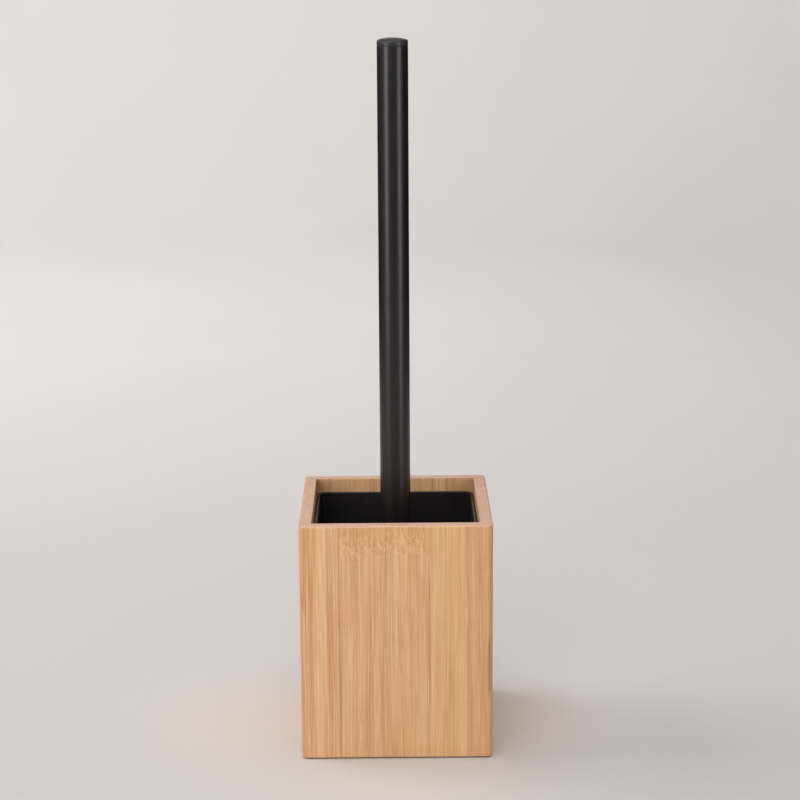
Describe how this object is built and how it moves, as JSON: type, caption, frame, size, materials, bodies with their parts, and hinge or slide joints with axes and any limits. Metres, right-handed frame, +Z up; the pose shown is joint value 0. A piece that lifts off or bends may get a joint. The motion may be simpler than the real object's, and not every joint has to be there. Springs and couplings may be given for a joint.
{
  "type": "toilet brush holder",
  "caption": "Square bamboo box with a lift-out black liner that holds a toilet brush; the brush has a slim black tube handle and a head that unscrews.",
  "frame": {"origin": "middle of the base, on the floor, at the undersides of the foot pads", "axes": "+Z up along the handle; -Y towards the front board; +X to the right seen from the front"},
  "size_m": [0.1, 0.1, 0.371],
  "materials": {
    "bamboo": "pressed bamboo strips under a thin matt lacquer",
    "pad_rubber": "matt grey foam rubber",
    "liner_plastic": "black moulded polypropylene, satin",
    "core_plastic": "black moulded polypropylene, satin",
    "anchor_wire": "flat galvanised wire",
    "bristle": "black plastic bristle",
    "washer_rubber": "black rubber",
    "plug_plastic": "black moulded plastic",
    "black_paint": "satin black powder coat on steel tube",
    "cap_plastic": "satin black"
  },
  "bodies": {
    "holder": {"front_panel": "bamboo", "back_panel": "bamboo", "left_panel": "bamboo", "right_panel": "bamboo", "base_panel": "bamboo", "foot_pad_1": "pad_rubber", "foot_pad_2": "pad_rubber", "foot_pad_3": "pad_rubber", "foot_pad_4": "pad_rubber"},
    "liner": {"liner": "liner_plastic"},
    "brush_head": {"brush_core": "core_plastic", "tuft_anchors": "anchor_wire", "tuft_row_1": "bristle", "tuft_row_2": "bristle", "tuft_row_3": "bristle", "tuft_row_4": "bristle", "tuft_row_5": "bristle", "tuft_row_6": "bristle", "tuft_ring_outer": "bristle", "tuft_ring_middle": "bristle", "tuft_ring_inner": "bristle", "tuft_tip": "bristle"},
    "seal_washer": {"seal_washer": "washer_rubber"},
    "handle": {"handle_plug": "plug_plastic", "handle_tube": "black_paint", "handle_cap": "cap_plastic"}
  },
  "joints": [
    {"name": "liner_lift", "type": "slide", "parent": "holder", "child": "liner", "axis": [0, 0, 1], "range_m": [0, 0.125]},
    {"name": "brush_lift", "type": "slide", "parent": "liner", "child": "brush_head", "axis": [0, 0, 1], "range_m": [0, 0.13]},
    {"name": "handle_rise", "type": "slide", "parent": "brush_head", "child": "seal_washer", "axis": [0, 0, 1], "range_m": [0, 0.012]},
    {"name": "handle_unscrew", "type": "hinge", "parent": "seal_washer", "child": "handle", "pos_m": [0, 0, 0.109], "axis": [0, 0, 1], "range_deg": [0, 2160]}
  ],
  "couplings": [
    {"joint": "handle_rise", "follows": "handle_unscrew", "m_per_rad": 0.0003183}
  ]
}
